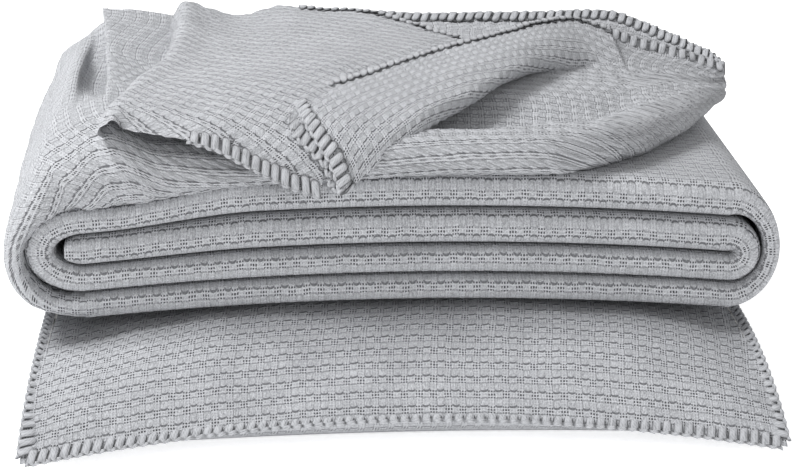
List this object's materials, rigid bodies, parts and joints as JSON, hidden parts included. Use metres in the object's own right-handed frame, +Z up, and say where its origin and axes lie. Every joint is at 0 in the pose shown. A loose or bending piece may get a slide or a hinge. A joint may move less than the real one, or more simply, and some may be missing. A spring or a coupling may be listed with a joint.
{
  "type": "folded throw on matching cushion",
  "caption": "Basket-weave throw with blanket-stitched edges, folded and rolled flat on a matching cushion, top end loosely draped with a turned-back corner.",
  "frame": {"origin": "on the floor under the middle of the cushion", "axes": "+Z up, -Y is the front with the rounded folds, +X to the right along the leaves"},
  "size_m": [0.507, 0.4904, 0.23],
  "materials": {
    "throw_cloth": "grey basket-weave cotton",
    "cushion_cloth": "grey basket-weave cotton",
    "edge_yarn": "twisted cotton yarn",
    "inner_cloth": "plain non-woven cloth",
    "fibre_fill": "fibre wadding",
    "zip_tape": "woven tape",
    "zip_teeth": "moulded coil",
    "zip_metal": "satin"
  },
  "bodies": {
    "cushion": {"top_panel": "cushion_cloth", "bottom_panel": "cushion_cloth", "insert_casing": "inner_cloth", "filling": "fibre_fill", "front_seam_edging": "edge_yarn", "back_seam_edging": "edge_yarn", "left_seam_edging": "edge_yarn", "right_seam_edging": "edge_yarn", "zip_tape_upper": "zip_tape", "zip_tape_lower": "zip_tape", "zip_coil": "zip_teeth"},
    "zip_slider": {"zip_slider": "zip_metal"},
    "zip_pull": {"zip_pull": "zip_metal"},
    "throw": {"bottom_leaf": "throw_cloth", "lower_leaf": "throw_cloth", "core_leaf": "throw_cloth", "upper_leaf": "throw_cloth", "core_turn": "throw_cloth", "inner_left_turn": "throw_cloth", "outer_right_turn": "throw_cloth", "outer_left_turn": "throw_cloth", "opening_turn": "throw_cloth", "back_edging": "edge_yarn"},
    "top_leaf": {"top_leaf": "throw_cloth", "draped_plies": "throw_cloth", "hump_outer": "throw_cloth", "hump_inner": "throw_cloth", "front_flap": "throw_cloth", "corner_fold_tip": "throw_cloth", "flap_edging": "edge_yarn", "far_edging": "edge_yarn", "top_back_edging": "edge_yarn"},
    "turned_corner": {"turned_corner": "throw_cloth", "corner_long_edging": "edge_yarn", "corner_short_edging": "edge_yarn"}
  },
  "joints": [
    {"name": "throw_lift", "type": "slide", "parent": "cushion", "child": "throw", "axis": [0, 0, 1], "range_m": [0, 0.2]},
    {"name": "top_leaf_open", "type": "hinge", "parent": "throw", "child": "top_leaf", "pos_m": [-0.2035, 0, 0.11951], "axis": [0, -1, 0], "range_deg": [0, 65], "deforming": ["opening_turn"]},
    {"name": "corner_open", "type": "hinge", "parent": "top_leaf", "child": "turned_corner", "pos_m": [-0.03, -0.142, 0.2127], "axis": [0.6947, 0.7193, 0], "range_deg": [0, 75]},
    {"name": "zip_slide", "type": "slide", "parent": "cushion", "child": "zip_slider", "axis": [-1, 0, 0], "range_m": [0, 0.269]},
    {"name": "zip_pull_swing", "type": "hinge", "parent": "zip_slider", "child": "zip_pull", "pos_m": [0.1345, 0.21925, 0.01204], "axis": [0, 0.6235, 0.7818], "range_deg": [-80, 80]}
  ]
}
